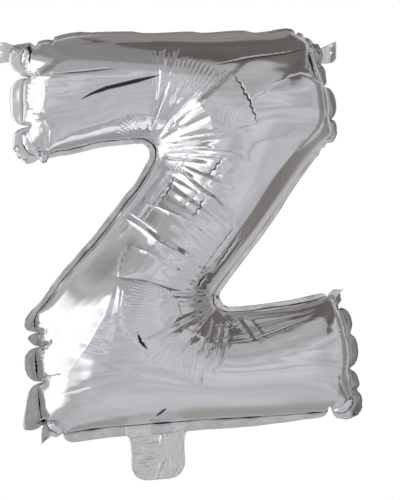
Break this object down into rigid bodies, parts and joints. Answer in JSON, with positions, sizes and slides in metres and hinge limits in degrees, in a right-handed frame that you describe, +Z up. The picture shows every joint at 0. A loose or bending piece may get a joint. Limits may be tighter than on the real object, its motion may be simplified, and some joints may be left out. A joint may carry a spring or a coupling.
{
  "type": "letter foil balloon",
  "caption": "Inflated silver foil balloon in the shape of the letter Z, with a welded seam margin, a filling neck with its valve, and hanging tabs.",
  "frame": {"origin": "middle of the letter in the plane of its weld, where the air around it carries it", "axes": "+Z up the letter, +Y out of its back, so the letter is read looking along +Y; +X to the reader's right"},
  "size_m": [0.3277, 0.126, 0.4045],
  "materials": {
    "silver_film": "mirror-bright metallised film, finely creased",
    "fused_film": "two metallised films fused flat, puckered",
    "valve_film": "clear film sleeve"
  },
  "bodies": {
    "root": {"front_film": "silver_film", "back_film": "silver_film", "seam_margin": "fused_film", "neck_front_ply": "silver_film", "neck_back_ply": "silver_film", "valve_sleeve": "valve_film", "hanging_tab_left": "fused_film", "hanging_tab_right": "fused_film"}
  },
  "joints": []
}
